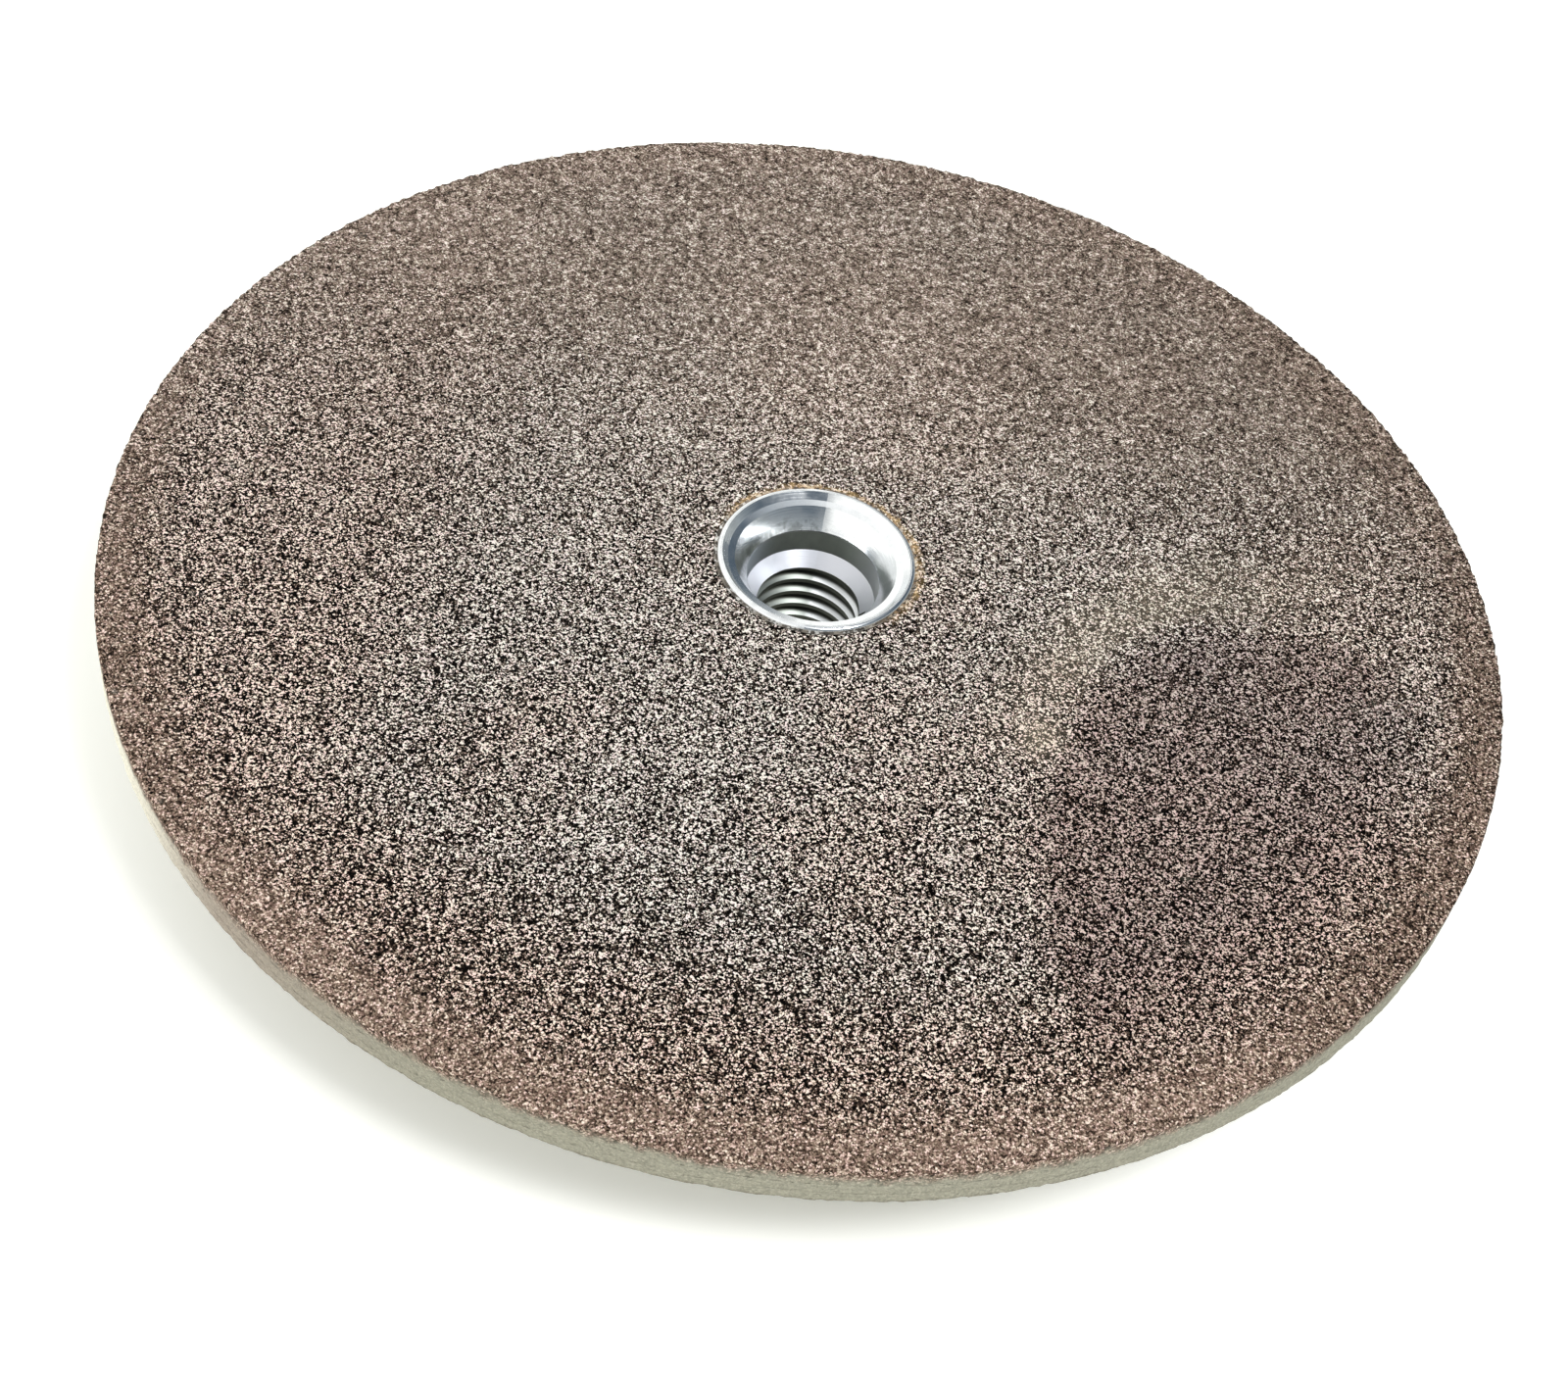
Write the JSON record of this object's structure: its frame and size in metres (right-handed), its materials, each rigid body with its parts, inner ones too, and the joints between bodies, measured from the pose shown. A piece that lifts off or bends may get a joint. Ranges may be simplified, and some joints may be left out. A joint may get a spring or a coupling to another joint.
{
  "type": "grinding wheel",
  "caption": "Flat bonded-grit grinding wheel with fibreglass nets inside and a permanently fixed, internally threaded metal hub that spins straight onto a tool spindle.",
  "frame": {"origin": "centre of the hub's rear seat, the face that stops against the spindle's shoulder; the wheel stands on it", "axes": "+Z along the spin axis, out of the front face; X and Y in the plane of the wheel, X through two corners of the hub's hexagon"},
  "size_m": [0.1778, 0.1778, 0.0222],
  "materials": {
    "grit_front": "coarse bonded grain, matt",
    "grit_core": "coarse bonded grain, matt",
    "fibreglass_net": "resin-soaked glass net",
    "blotter_paper": "matt absorbent paper",
    "flange_steel": "zinc plated pressed steel",
    "cement": "granular tan cement",
    "bushing_metal": "turned, bright zinc plated"
  },
  "bodies": {
    "root": {"abrasive_front_layer": "grit_front", "abrasive_middle_layer": "grit_core", "abrasive_rear_layer": "grit_core", "front_reinforcing_net": "fibreglass_net", "inner_reinforcing_net": "fibreglass_net", "rear_reinforcing_net": "fibreglass_net", "rear_blotter": "blotter_paper", "rear_flange": "flange_steel", "bonding_cement": "cement", "threaded_bushing": "bushing_metal"}
  },
  "joints": []
}
